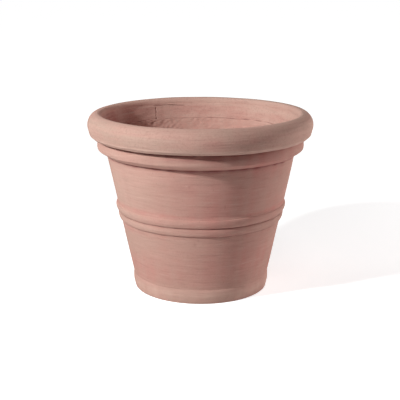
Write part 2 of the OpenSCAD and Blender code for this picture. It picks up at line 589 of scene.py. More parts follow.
def straight(p: Point, q: Point, step: float) -> list[Point]:
    """Evenly spaced points from p to q, about step apart."""
    count = max(1, round(math.dist(p, q) / step))
    return list(zip(evenly(p[0], q[0] - p[0], count), evenly(p[1], q[1] - p[1], count)))


def oval(centre: Point, a: float, b: float, start: float, end: float, step: float) -> list[Point]:
    """Points along an oval arc.

    Args:
        centre: the oval's middle.
        a: its level half axis.
        b: its upright half axis.
        start: first angle in degrees.
        end: last angle in degrees.
        step: distance between points.

    Returns:
        The points in order.
    """
    length = math.radians(abs(end - start)) * math.hypot(a, b) / math.sqrt(2)
    count = max(3, round(length / step))
    return round_points(centre, a, b, map(math.radians, evenly(start, end - start, count)))


def bulge(p: Point, q: Point, s: float, step: float) -> list[Point]:
    """Points along a round arc.

    Args:
        p: its low end.
        q: its high end.
        s: how far it stands out in its middle; it is hollow below 0.
        step: distance between points.

    Returns:
        The points in order.
    """
    start, end = np.array(p), np.array(q)
    chord = float(np.linalg.norm(end - start))
    r = (chord**2 / 4 + s * s) / (2 * s)
    along = (end - start) / chord
    out = np.array([along[1], -along[0]])
    half = math.asin(chord / 2 / r)
    first = math.atan2(out[1], out[0]) - half
    count = max(3, round(chord / step))
    return round_points((start + end) / 2 + out * (s - r), r, r, evenly(first, 2 * half, count))


def half_oval(p: Point, q: Point, s: float, step: float) -> list[Point]:
    """Points along half an oval.

    Args:
        p: its low end.
        q: its high end.
        s: how far it stands out in its middle.
        step: distance between points.

    Returns:
        The points in order.
    """
    start, end = np.array(p), np.array(q)
    along = (end - start) / 2
    out = np.array([along[1], -along[0]]) / np.linalg.norm(along)
    count = max(6, round(math.pi * math.hypot(np.linalg.norm(along), s) / math.sqrt(2) / step))
    angles = [math.pi * (1 - i / count) for i in range(count + 1)]
    points = [(start + end) / 2 + along * math.cos(t) + out * s * math.sin(t) for t in angles]
    return [tuple(point) for point in points]


def corner(p: Point, v: Point, q: Point, r: float, step: float) -> list[Point]:
    """Points along the arc that takes the place of a corner.

    Args:
        p: a point before the corner.
        v: the corner.
        q: a point after the corner.
        r: the arc's radius.
        step: distance between points.

    Returns:
        The points in order.
    """
    at = np.array(v)
    back = (np.array(p) - at) / math.dist(p, v)
    ahead = (np.array(q) - at) / math.dist(q, v)
    half = math.acos(float(back @ ahead)) / 2
    middle = at + (back + ahead) / np.linalg.norm(back + ahead) * r / math.sin(half)
    first = at + back * r / math.tan(half) - middle
    turn = math.pi - 2 * half
    count = max(3, round(r * turn / step))
    return round_points(middle, r, r, evenly(math.atan2(first[1], first[0]), turn, count))


@dataclass(frozen=True)
class RollSide:
    """Outer side of a roll: a slope from its underside, a straight leaning face, then an oval."""

    slant_degrees: float
    slope_w: float
    slope_h: float
    edge_r: float
    oval_share: float = 0.5
    edge_step: float = 0.7 * MM

    def points(self, middle: Point, a: float, b: float, under_z: float, end_degrees: float,
               step: float) -> list[Point]:
        """Points up the side.

        Args:
            middle: the oval's middle.
            a: the oval's level half axis.
            b: the oval's upright half axis.
            under_z: height of the roll's underside.
            end_degrees: angle at which the oval ends.
            step: distance between points on the face and the oval.

        Returns:
            The points in order.
        """
        edge_z = under_z + self.slope_h
        slant = math.tan(math.radians(self.slant_degrees))
        oval_low = math.asin(min(1.0, self.oval_share * (middle[1] - edge_z) / b))
        start = -min(math.atan(slant * b / a), oval_low)
        face_top = (middle[0] + a * math.cos(start), middle[1] + b * math.sin(start))
        edge = (face_top[0] - (face_top[1] - edge_z) * slant, edge_z)
        foot = (edge[0] - self.slope_w, under_z)
        low = corner((foot[0] - self.slope_w, under_z), foot, edge, self.edge_r, self.edge_step)
        high = corner(foot, edge, face_top, self.edge_r, self.edge_step)
        return (low + straight(low[-1], high[0], step) + high
                + straight(high[-1], face_top, step)
                + oval(middle, a, b, math.degrees(start), end_degrees, step))


@dataclass
class Turner:
    """Turns outlines into meshes with the potter's marks on them."""

    marks: HandMarks
    segments: int = 560
    fine_turn: float = 0.0021
    fine_count: int = 40
    sharp_degrees: float = 38.0

    def angles(self, fine_at: tuple[float, ...]) -> np.ndarray:
        """Directions of the mesh's meridians.

        Args:
            fine_at: directions in degrees round which they crowd.

        Returns:
            The directions in radians, rising.
        """
        angles = np.linspace(0, TURN, self.segments, endpoint=False)
        spread = self.fine_turn * np.arange(-self.fine_count, self.fine_count + 1)
        for degrees in fine_at:
            clear = np.abs(turn_from(angles, degrees)) > spread[-1] + self.fine_turn
            angles = np.concatenate([angles[clear], (math.radians(degrees) + spread) % TURN])
        return np.sort(angles)

    @staticmethod
    def quads(rows: int, turns: int) -> np.ndarray:
        """Faces of a closed ring of points.

        Args:
            rows: number of points round the outline.
            turns: number of meridians.

        Returns:
            Four point numbers for each face.
        """
        i, j = np.arange(rows)[:, None], np.arange(turns)[None, :]
        i_next, j_next = (i + 1) % rows, (j + 1) % turns
        corners = ((i, j), (i, j_next), (i_next, j_next), (i_next, j))
        return np.stack([row * turns + turn for row, turn in corners], axis=-1).reshape(-1, 4)

    def turn(self, name: str, outline: Outline, fine_at: tuple[float, ...]) -> bpy.types.Object:
        """Makes the mesh object of one member.

        Args:
            name: the piece's name.
            outline: the member's closed outline.
            fine_at: directions in degrees that get finer meridians.

        Returns:
            The object, linked to the scene.
        """
        plane, normal = np.array(outline.points), outline.normals()
        side = np.array([s.value for s in outline.sides])
        angle = self.angles(fine_at)
        shape = (len(plane), len(angle))
        parts = (plane[:, :1], plane[:, 1:], angle[None, :], side[:, None])
        grid = Grid(*(np.broadcast_to(part, shape).copy() for part in parts))
        height = self.marks.relief(grid)
        outwards, upwards = self.marks.lean(grid)
        r = grid.r + outwards + height * normal[:, :1]
        z = grid.z + upwards + height * normal[:, 1:]
        co = np.stack([r * np.cos(grid.angle), r * np.sin(grid.angle), z], axis=-1)
        mesh = bpy.data.meshes.new(name)
        mesh.from_pydata(co.reshape(-1, 3).tolist(), [], self.quads(*shape).tolist())
        for label, values in self.marks.tones(grid).items():
            layer = mesh.attributes.new(label, "FLOAT", "POINT")
            layer.data.foreach_set("value", values.reshape(-1).astype(np.float32))
        mesh.shade_smooth()
        mesh.set_sharp_from_angle(angle=math.radians(self.sharp_degrees))
        mesh.update()
        piece = bpy.data.objects.new(name, mesh)
        bpy.context.scene.collection.objects.link(piece)
        return piece


@dataclass(frozen=True)
class Noise:
    """Settings of a noise texture."""

    scale: float
    detail: float
    rough: float


@dataclass(frozen=True)
class Span:
    """A range of a value, and the range that it is carried to."""

    low: float
    high: float
    to_low: float = 0.0
    to_high: float = 1.0
    ease: Ease = Ease.SMOOTH


class Graph:
    """A cleared node tree, with short calls for what the clay and the studio need."""

    def __init__(self, owner: bpy.types.Material | bpy.types.World, output: str) -> None:
        """Clears the owner's tree and gives it its output.

        Args:
            owner: the material or world.
            output: kind of its output node.
        """
        owner.use_nodes = True
        self.tree = owner.node_tree
        self.tree.nodes.clear()
        self.surface = self.node(output).inputs["Surface"]

    def put(self, socket: Socket, value: Value) -> None:
        """Links a socket to another, or sets its value.

        Args:
            socket: the input.
            value: what it is to get.
        """
        if isinstance(value, Socket):
            self.tree.links.new(value, socket)
        else:
            socket.default_value = value

    def node(self, kind: str, inputs: dict[str | int, Value] | None = None,
             **settings: str) -> bpy.types.Node:
        """Adds a node.

        Args:
            kind: its kind, without the word that all kinds begin with.
            inputs: what its inputs get, by name or number.
            settings: its own properties.

        Returns:
            The node.
        """
        node = self.tree.nodes.new(f"ShaderNode{kind}")
        for name, setting in settings.items():
            setattr(node, name, setting)
        for name, value in (inputs or {}).items():
            self.put(node.inputs[name], value)
        return node

    def math(self, operation: str, a: Value, b: Value = 0.0) -> Socket:
        """Output of a Math node."""
        return self.node("Math", {0: a, 1: b}, operation=operation).outputs[0]

    def times(self, a: Value, b: Value) -> Socket:
        """Product of two values."""
        return self.math("MULTIPLY", a, b)

    def plus(self, a: Value, b: Value) -> Socket:
        """Sum of two values."""
        return self.math("ADD", a, b)

    def attribute(self, name: str) -> Socket:
        """Value of a mesh attribute."""
        return self.node("Attribute", attribute_name=name).outputs["Fac"]

    def place(self) -> Socket:
        """Position in the object's own frame, which is the pot's."""
        return self.node("TexCoord").outputs["Object"]

    def ring_place(self, turns: float, rise: float) -> tuple[Socket, Socket]:
        """Position for a pattern that is drawn out round the pot.

        Args:
            turns: size of the pattern's ring; a larger one gives shorter streaks.
            rise: how closely streaks follow each other up the wall, per metre.

        Returns:
            The vector and the fourth coordinate for a 4D texture.
        """
        x, y, z = self.node("SeparateXYZ", {0: self.place()}).outputs
        square = self.plus(self.times(x, x), self.times(y, y))
        radius = self.math("SQRT", self.plus(square, NEAR_AXIS))
        join = self.node("CombineXYZ", {
            0: self.times(self.math("DIVIDE", x, radius), turns),
            1: self.times(self.math("DIVIDE", y, radius), turns),
            2: self.times(z, rise),
        })
        return join.outputs[0], self.times(radius, rise)

    def noise(self, noise: Noise, vector: Socket, w: Socket | None = None) -> Socket:
        """Value of a noise texture.

        Args:
            noise: its settings.
            vector: where it is read.
            w: the fourth coordinate, which makes it 4D.

        Returns:
            The value, from 0 to 1.
        """
        inputs = {"Vector": vector, "Scale": noise.scale, "Detail": noise.detail,
                  "Roughness": noise.rough}
        if w is None:
            return self.node("TexNoise", inputs).outputs["Fac"]
        return self.node("TexNoise", {**inputs, "W": w}, noise_dimensions="4D").outputs["Fac"]

    def span(self, value: Value, span: Span) -> Socket:
        """Value carried from one range to another.

        Args:
            value: what is carried.
            span: the two ranges.

        Returns:
            The carried value.
        """
        inputs = {"Value": value, "From Min": span.low, "From Max": span.high,
                  "To Min": span.to_low, "To Max": span.to_high}
        return self.node("MapRange", inputs, interpolation_type=span.ease.value).outputs["Result"]

    def mix(self, share: Value, a: Value, b: Value) -> Socket:
        """Colour a with share of it taken over by colour b.

        Args:
            share: how much of b shows, from 0 to 1.
            a: the first colour.
            b: the second colour.

        Returns:
            The mixed colour.
        """
        node = self.node("Mix", {"Factor": share}, data_type="RGBA")
        for socket, colour in zip((s for s in node.inputs if s.type == "RGBA"), (a, b)):
            self.put(socket, colour)
        return next(s for s in node.outputs if s.type == "RGBA")

    def bump(self, height: Value, strength: float, distance: float,
             below: Socket | None = None) -> Socket:
        """Normal bent by a height.

        Args:
            height: the height, from 0 to 1.
            strength: how strongly it bends the normal.
            distance: what a height of 1 stands for, in metres.
            below: a normal that was bent before.

        Returns:
            The bent normal.
        """
        inputs = {"Strength": strength, "Distance": distance, "Height": height}
        if below is not None:
            inputs["Normal"] = below
        return self.node("Bump", inputs).outputs["Normal"]


@dataclass(frozen=True)
class Coat:
    """A built finish and the record's slot that it stands for."""

    material: bpy.types.Material
    slot: Slot


@dataclass(frozen=True)
class ClayFinish:
    """Matt fired clay: body colour, rosy and paler patches, wiped streaks, pits, and dirt, with
    painted highlights and shade in its tones.
    """

    name: str
    slot: Slot = Slot.SMOOTH
    body: Colour = (0.480, 0.283, 0.233, 1.0)
    rosy: Colour = (0.512, 0.219, 0.189, 1.0)
    pale: Colour = (0.585, 0.372, 0.308, 1.0)
    dark: Colour = (0.155, 0.036, 0.034, 1.0)
    # The inside's paler body is partly painted light for the brightly lit inner wall.
    inner_body: Colour = (0.606, 0.373, 0.308, 1.0)
    gloss: float = 0.07
    # How strongly each layer shows.
    mottle: float = 0.40
    veil: float = 0.30
    streak: float = 0.20
    dim_streak: float = 0.45
    streak_in_rosy: float = 1.5
    pit: float = 0.35
    fleck: float = 0.08
    dim_fleck: float = 0.7
    # Sizes of the patterns.
    band_ring: float = 1.3
    band_rise: float = 26.0
    band_noise: Noise = Noise(1.0, 3.0, 0.55)
    streak_ring: float = 3.2
    streak_rise: float = 210.0
    streak_noise: Noise = Noise(1.0, 4.0, 0.6)
    cloud_noise: Noise = Noise(6.0, 3.0, 0.5)
    patch_noise: Noise = Noise(15.0, 5.0, 0.6)
    scuff_noise: Noise = Noise(110.0, 4.0, 0.62)
    fleck_noise: Noise = Noise(230.0, 3.0, 0.65)
    pit_noise: Noise = Noise(420.0, 2.0, 0.5)
    grain_noise: Noise = Noise(900.0, 3.0, 0.6)
    band_in_mottle: float = 0.65
    band_in_veil: float = 0.60
    # Values of the patterns at which each layer comes in.
    mottle_span: Span = Span(0.42, 0.62)
    veil_span: Span = Span(0.44, 0.62)
    blush_span: Span = Span(0.2, 0.6, 0.6, 1.0)
    streak_span: Span = Span(0.52, 0.72)
    dim_streak_span: Span = Span(0.50, 0.28)
    pit_span: Span = Span(0.66, 0.78)
    fleck_span: Span = Span(0.5, 0.72)
    dim_fleck_span: Span = Span(0.5, 0.30)
    edge_span: Span = Span(0.25, 0.6, 0.55, 1.0)
    roughness: Span = Span(0.2, 0.8, 0.82, 0.96)
    # Relief: heights in metres and how strongly they bend the light.
    ridge: float = 1.25 * MM
    scuff: float = 0.70 * MM
    scuff_strength: float = 0.8
    scuff_share: Span = Span(0.0, 1.0, 0.35, 1.0)
    grain: float = 0.20 * MM
    grain_strength: float = 0.35

    def colour(self, g: Graph, place: Socket, streak: Socket, pits: Socket,
               inside: Socket) -> Socket:
        """Colour of the clay, laid on from the body upwards.

        Args:
            g: the material's node tree.
            place: position in the pot's frame.
            streak: pattern of the wiped streaks.
            pits: shares of the small pits.
            inside: 1 on the rougher inside.

        Returns:
            The socket that gives the colour.
        """
        band = g.noise(self.band_noise, *g.ring_place(self.band_ring, self.band_rise))
        patch = g.noise(self.patch_noise, place)
        cloud = g.noise(self.cloud_noise, place)
        fleck = g.noise(self.fleck_noise, place)
        blotch = g.plus(g.times(patch, 1 - self.band_in_mottle),
                        g.times(band, self.band_in_mottle))
        haze = g.plus(g.times(band, self.band_in_veil), g.times(cloud, 1 - self.band_in_veil))
        rosy = g.attribute(Tone.ROSY.value)
        # Streaks show more in the rosy tone, which is partly painted shade colour.
        rosy_streak = g.times(g.plus(g.times(rosy, self.streak_in_rosy), 1.0), self.streak)
        layers = (
            (g.times(g.span(blotch, self.mottle_span), self.mottle), self.rosy),
            (g.times(g.span(haze, self.veil_span), self.veil), self.pale),
            # Rosy tone: rosier clay, and painted shade colour down the front and in the shaded
            # neck.
            (g.times(rosy, g.span(patch, self.blush_span)), self.rosy),
            (g.times(g.span(streak, self.streak_span), rosy_streak), self.pale),
            (g.times(g.span(streak, self.dim_streak_span), g.times(rosy_streak, self.dim_streak)),
             self.dark),
            (g.times(pits, self.pit), self.dark),
            (g.times(g.span(fleck, self.fleck_span), self.fleck), self.pale),
            (g.times(g.span(fleck, self.dim_fleck_span), self.fleck * self.dim_fleck), self.dark),
            # Paler clay, and painted highlights where light catches edges and lit sides.
            (g.times(g.attribute(Tone.PALE.value), g.span(patch, self.edge_span)), self.pale),
            # Dirt, and painted shade in crevices and on shaded sides.
            (g.attribute(Tone.STAIN_AND_SHADE.value), self.dark),
        )
        colour = g.mix(inside, self.body, self.inner_body)
        for share, paint in layers:
            colour = g.mix(share, colour, paint)
        return colour

    def coat(self) -> Coat:
        """Builds the finish.

        Returns:
            The procedural material with its slot.
        """
        material = bpy.data.materials.new(self.name)
        g = Graph(material, "OutputMaterial")
        place = g.place()
        inside = g.attribute(ROUGH_LAYER)
        streak = g.noise(self.streak_noise, *g.ring_place(self.streak_ring, self.streak_rise))
        pits = g.span(g.noise(self.pit_noise, place), self.pit_span)
        scuff = g.times(g.noise(self.scuff_noise, place), g.span(inside, self.scuff_share))
        grain = g.math("SUBTRACT", g.noise(self.grain_noise, place), pits)
        normal = g.bump(streak, 1.0, self.ridge)
        normal = g.bump(scuff, self.scuff_strength, self.scuff, normal)
        normal = g.bump(grain, self.grain_strength, self.grain, normal)
        shader = g.node("BsdfPrincipled", {
            "Base Color": self.colour(g, place, streak, pits, inside),
            "Roughness": g.span(streak, self.roughness),
            "Specular IOR Level": self.gloss,
            "Normal": normal,
        })
        g.put(g.surface, shader.outputs["BSDF"])
        return Coat(material, self.slot)


SMOOTH_CLAY = ClayFinish("smoothed_clay")
RIM_CLAY = ClayFinish("rim_clay", body=(0.462, 0.298, 0.243, 1.0), mottle=0.35, veil=0.42,
                      streak=0.27, fleck=0.20, ridge=2.0 * MM, band_rise=62.0)
INNER_CLAY = ClayFinish("inner_clay", Slot.INSIDE, mottle=0.60, veil=0.25, streak=0.35,
                        fleck=0.25, ridge=1.4 * MM)


@dataclass
class Member:
    """Base of the pot's sub-assemblies: how a piece is made and joins the model."""

    sizes: PotSizes
    turner: Turner
    step: float = 2.2 * MM

    def make(self, node: str, outline: Outline, coat: Coat, *fine_at: float) -> None:
        """Turns a piece, dresses it and puts it in its solid's place.

        Args:
            node: the solid that it stands for.
            outline: its closed outline.
            coat: its finish.
            fine_at: directions in degrees that get finer meridians.
        """
        piece = self.turner.turn(f"{node}_clay", outline, fine_at)
        piece.data.materials.append(coat.material)
        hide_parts(node)
        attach(piece, BODY)
        LOG.info("%s: %d faces", piece.name, len(piece.data.polygons))


@dataclass
class Foot(Member):
    """Floor slab with its drain hole, the coil in the inside corner and the foot band."""

    drain_d: float = 30.0 * MM
    drain_bevel: float = 3.0 * MM
    hollow_h: float = 3.0 * MM
    rest_w: float = 24.0 * MM
    under_step: float = 4.0 * MM
    ramp_step: float = 1.0 * MM
    top_step: float = 3.0 * MM
    hole_step: float = 2.0 * MM
    bevel_step: float = 0.8 * MM
    coil_r: float = 12.0 * MM
    coil_step: float = 1.5 * MM
    band_full_z: float = 17.0 * MM
    band_out: float = 1.1 * MM
    band_draw: float = 3.91 * MM
    band_edge_r: float = 2.0 * MM
    band_face_r: float = 30.0 * MM
    band_slope_h: float = 4.5 * MM
    edge_step: float = 0.6 * MM
    slope_step: float = 0.9 * MM

    def slab_outline(self) -> Outline:
        """Outline of the slab: step for the wall, bevelled drain hole, hollow underside.

        Returns:
            The closed outline.
        """
        s = self.sizes
        top = node_heights("floor_slab")[1]
        bevel = self.drain_bevel
        hole = self.drain_d / 2
        hollow = (s.seat(0) - self.rest_w, self.hollow_h)
        rest = (hollow[0] + self.hollow_h, 0)
        return (
            Outline()
            .add(Side.OUTSIDE, *straight((hole, self.hollow_h), hollow, self.under_step))
            .add(Side.OUTSIDE, *straight(hollow, rest, self.ramp_step))
            .add(Side.JOINT, *straight(rest, s.seat_at(0), self.under_step))
            .add(Side.JOINT, s.seat_at(s.floor_step_h), s.inner_at(s.floor_step_h))
            .add(Side.INSIDE, *straight(s.inner_at(top), (hole + bevel, top), self.top_step))
            .add(Side.INSIDE, *oval((hole + bevel, top - bevel), bevel, bevel, 90, 180,
                                    self.bevel_step))
            .add(Side.INSIDE, *straight((hole, top - bevel), (hole, self.hollow_h),
                                        self.hole_step))
        )

    def coil_outline(self) -> Outline:
        """Outline of the coil smoothed into the corner between the floor and the wall.

        Returns:
            The closed outline.
        """
        s = self.sizes
        floor_z = node_heights("corner_coil")[0]
        lean = math.atan((s.inner(s.shoulder_z) - s.inner(0)) / s.shoulder_z)
        centre_z = floor_z + self.coil_r
        centre = (s.inner(centre_z) - self.coil_r / math.cos(lean), centre_z)
        arc = oval(centre, self.coil_r, self.coil_r, -math.degrees(lean), -90, self.coil_step)
        return Outline().add(Side.JOINT, s.inner_at(floor_z)).add(Side.INSIDE, *arc)

    def band_outline(self) -> Outline:
        """Outline of the foot band: drawn-in foot, upright face, slope back to the wall.

        Returns:
            The closed outline.
        """
        s = self.sizes
        height = node_heights("foot_band")[1]
        full_r = s.out(height) + self.band_out
        ground_out = (full_r - self.band_draw, 0.0)
        full_low = (full_r, self.band_full_z)
        full_high = (full_r, height - self.band_slope_h)
        low = corner(s.seat_at(0), ground_out, full_low, self.band_edge_r, self.edge_step)
        high = corner(ground_out, full_low, full_high, self.band_face_r, self.step)
        return (
            Outline()
            .add(Side.JOINT, s.seat_at(0))
            .add(Side.OUTSIDE, *low, *straight(low[-1], high[0], self.step), *high)
            .add(Side.OUTSIDE, *straight(high[-1], full_high, self.step))
            .add(Side.OUTSIDE, *straight(full_high, s.out_at(height), self.slope_step))
            .add(Side.JOINT, s.seat_at(height))
        )

    def build(self, outer: Coat, inner: Coat) -> None:
        """Makes the three pieces of the foot.

        Args:
            outer: finish of the foot band.
            inner: finish of the slab and the coil.
        """
        self.make("floor_slab", self.slab_outline(), inner)
        self.make("corner_coil", self.coil_outline(), inner)
        self.make("foot_band", self.band_outline(), outer)


@dataclass
class Wall(Member):
    """The two wall courses, lapped on a bevel behind the waist beads."""

    floor_t: float = 26.0 * MM
    mark_reach: float = 5.0 * MM
    fine_step: float = 0.6 * MM
    fine_at: tuple[float, ...] = (-98.2, -74.8)

    def lower_outline(self) -> Outline:
        """Outline of the lower course, from the slab's step to the waist.

        Returns:
            The closed outline.
        """
        s = self.sizes
        band_h = node_heights("foot_band")[1]
        bead_z = node_heights("lower_waist_bead")[0]
        lap, fine = s.inner_at(s.lap_z), s.inner_at(s.lap_z - self.mark_reach)
        return (
            Outline()
            .add(Side.JOINT, s.inner_at(s.floor_step_h), s.seat_at(s.floor_step_h),
                 s.seat_at(band_h))
            .add(Side.OUTSIDE, *straight(s.out_at(band_h), s.out_at(bead_z), self.step))
            .add(Side.JOINT, s.seat_at(bead_z), s.seat_at(s.waist_z))
            .add(Side.INSIDE, *straight(lap, fine, self.fine_step))
            .add(Side.INSIDE, *straight(fine, s.inner_at(self.floor_t), self.step))
        )

    def upper_outline(self) -> Outline:
        """Outline of the upper course, from the waist to the joint inside the mouth.

        Returns:
            The closed outline.
        """
        s = self.sizes
        cove_z = node_heights("upper_waist_bead")[1]
        bead_z = cove_z - s.cove_h
        seam, fine = s.inner_at(s.seam_z), s.inner_at(s.seam_z - self.mark_reach)
        lap, low_fine = s.inner_at(s.lap_z), s.inner_at(s.lap_z + self.mark_reach)
        return (
            Outline()
            .add(Side.JOINT, lap, s.seat_at(s.waist_z), s.seat_at(bead_z), s.out_at(bead_z))
            .add(Side.OUTSIDE, *straight(s.out_at(cove_z), s.out_at(s.shoulder_z), self.step))
            .add(Side.JOINT, s.seat_at(s.shoulder_z), s.seam_top())
            .add(Side.INSIDE, *straight(seam, fine, self.fine_step))
            .add(Side.INSIDE, *straight(fine, low_fine, self.step))
            .add(Side.INSIDE, *straight(low_fine, lap, self.fine_step))
        )

    def build(self, outer: Coat) -> None:
        """Makes the two courses in their one finish."""
        self.make("lower_wall", self.lower_outline(), outer)
        self.make("upper_wall", self.upper_outline(), outer, *self.fine_at)


@dataclass
class WaistBeads(Member):
    """The two half-oval beads round the waist."""

    stand_out: float = 4.2 * MM
    cove_w: float = 1.6 * MM
    cove_hollow: float = 0.3 * MM
    bead_step: float = 1.1 * MM

    def lower_outline(self) -> Outline:
        """Outline of the lower bead.

        Returns:
            The closed outline.
        """
        s = self.sizes
        low, high = node_heights("lower_waist_bead")
        face = half_oval(s.out_at(low), s.out_at(high), self.stand_out, self.bead_step)
        return (
            Outline()
            .add(Side.JOINT, s.seat_at(low))
            .add(Side.OUTSIDE, *face)
            .add(Side.JOINT, s.seat_at(high))
        )

    def upper_outline(self) -> Outline:
        """Outline of the upper bead, whose clay is drawn up over the wall.

        Returns:
            The closed outline.
        """
        s = self.sizes
        low, cove_top = node_heights("upper_waist_bead")
        high = cove_top - s.cove_h
        shelf = (s.out(high) + self.cove_w, high)
        face = half_oval(s.out_at(low), shelf, self.stand_out, self.bead_step)
        cove = bulge(shelf, s.out_at(cove_top), -self.cove_hollow, self.bead_step)
        return (
            Outline()
            .add(Side.JOINT, s.seat_at(low))
            .add(Side.OUTSIDE, *face, *cove)
            .add(Side.JOINT, s.out_at(high), s.seat_at(high))
        )

    def build(self, outer: Coat) -> None:
        """Makes the two beads in their one finish."""
        self.make("lower_waist_bead", self.lower_outline(), outer)
        self.make("upper_waist_bead", self.upper_outline(), outer)


@dataclass
class Collar(Member):
    """The fat coil under the rim."""

    low_h: float = 17.7 * MM
    tuck: float = 6.0 * MM
    side: RollSide = RollSide(12.0, 14.7 * MM, 9.8 * MM, 5.0 * MM)
    roll_step: float = 1.4 * MM

    def outline(self) -> Outline:
        """Outline of the roll: sloped below, straight in the middle, drawn in above.

        Returns:
            The closed outline.
        """
        s = self.sizes
        low, high = node_heights("collar_roll")
        centre = (s.out(low), low + self.low_h)
        a = node_radius("collar_roll") - centre[0]
        high_h = high - centre[1]
        high_b = high_h / math.sqrt(1 - ((a - self.tuck) / a) ** 2)
        top = math.degrees(math.asin(high_h / high_b))
        return (
            Outline()
            .add(Side.JOINT, s.seat_at(low))
            .add(Side.OUTSIDE, *self.side.points(centre, a, high_b, low, top, self.roll_step))
            .add(Side.JOINT, s.seat_at(high))
        )

    def build(self, outer: Coat) -> None:
        """Makes the roll in its finish."""
        self.make("collar_roll", self.outline(), outer)


@dataclass
class Rim(Member):
    """The neck strip inside the mouth and the oval rim roll that hooks over it."""

    low_h: float = 26.8 * MM
    side: RollSide = RollSide(14.5, 7.7 * MM, 6.8 * MM, 3.0 * MM)
    lip_w: float = 11.0 * MM
    lip_h: float = 13.0 * MM
    under_w: float = 8.0 * MM
    neck_t: float = 9.5 * MM
    neck_back: float = 1.3 * MM
    strip_seam_degrees: float = 121.0
    neck_fine_top: float = 4.0 * MM
    neck_fine_low: float = 5.0 * MM
    neck_step: float = 1.3 * MM
    roll_step: float = 1.5 * MM
    fine_step: float = 0.55 * MM

    @property
    def lip(self) -> Point:
        """Foot of the inner lip's rounding."""
        return self.sizes.crown_r - self.lip_w, self.sizes.crown_z - self.lip_h

    @property
    def neck_foot(self) -> Point:
        """Low end of the neck's inner face, which stands a little back from the wall's."""
        return self.sizes.inner(self.sizes.seam_z) + self.neck_back, node_heights("neck_course")[0]

    def neck_at(self, z: float) -> Point:
        """Point of the neck's inner face at height z."""
        (r0, z0), (r1, z1) = self.neck_foot, self.lip
        return r0 + (r1 - r0) * (z - z0) / (z1 - z0), z

    def neck_outline(self) -> Outline:
        """Outline of the neck strip, which leans out from the joint to the lip.

        Returns:
            The closed outline.
        """
        s = self.sizes
        top, foot = self.neck_at(s.neck_top_z), self.neck_at(self.neck_foot[1])
        fine_top = self.neck_at(s.neck_top_z - self.neck_fine_top)
        fine_low = self.neck_at(s.seam_z + self.neck_fine_low)
        return (
            Outline()
            .add(Side.JOINT, foot, s.seam_top(), (top[0] + self.neck_t, s.neck_top_z))
            .add(Side.INSIDE, *straight(top, fine_top, self.fine_step))
            .add(Side.INSIDE, *straight(fine_top, fine_low, self.neck_step))
            .add(Side.INSIDE, *straight(fine_low, foot, self.fine_step))
        )

    def roll_outline(self) -> Outline:
        """Outline of the rim roll: underside, slope, face, crown, inner lip and hook.

        Returns:
            The closed outline.
        """
        s = self.sizes
        middle = (s.crown_r, s.rim_z + self.low_h)
        face = self.side.points(middle, s.crown_w, s.crown_z - middle[1], s.rim_z, 90,
                                self.roll_step)
        under = straight((s.out(s.rim_z) + self.under_w, s.rim_z), face[0], self.roll_step)
        lip = oval((s.crown_r, self.lip[1]), self.lip_w, self.lip_h, 90, 180, self.roll_step)
        neck_top = self.neck_at(s.neck_top_z)
        return (
            Outline()
            .add(Side.JOINT, s.seat_at(s.rim_z))
            .add(Side.OUTSIDE, *under, *face, *lip)
            .add(Side.INSIDE, *straight(self.lip, neck_top, self.fine_step))
            .add(Side.JOINT, (neck_top[0] + self.neck_t, s.neck_top_z), s.seam_top())
        )

    def build(self, outer: Coat, inner: Coat) -> None:
        """Makes the neck strip and the rim roll.

        Args:
            outer: finish of the rim roll.
            inner: finish of the neck strip.
        """
        self.make("neck_course", self.neck_outline(), inner, self.strip_seam_degrees)
        self.make("rim_roll", self.roll_outline(), outer)


@dataclass(frozen=True)
class Lamp:
    """A round soft box; its azimuth is 0 on the camera's side and 90 on the pot's right."""

    name: str
    azimuth: float
    elevation: float
    watts: float
    colour: tuple[float, float, float] = (1.0, 1.0, 1.0)
    width: float = 0.9
    distance: float = 2.4

    def build(self, target: tuple[float, float, float]) -> None:
        """Makes the lamp.

        Args:
            target: the point that it looks at.
        """
        a, e = math.radians(self.azimuth), math.radians(self.elevation)
        way = np.array([math.sin(a) * math.cos(e), -math.cos(a) * math.cos(e), math.sin(e)])
        light = bpy.data.lights.new(self.name, "AREA")
        light.shape = "DISK"
        light.size = self.width
        light.energy = self.watts
        light.color = self.colour
        lamp = bpy.data.objects.new(self.name, light)
        lamp.location = np.array(target) + way * self.distance
        lamp.rotation_euler = (math.pi / 2 - e, 0.0, a)
        bpy.context.scene.collection.objects.link(lamp)


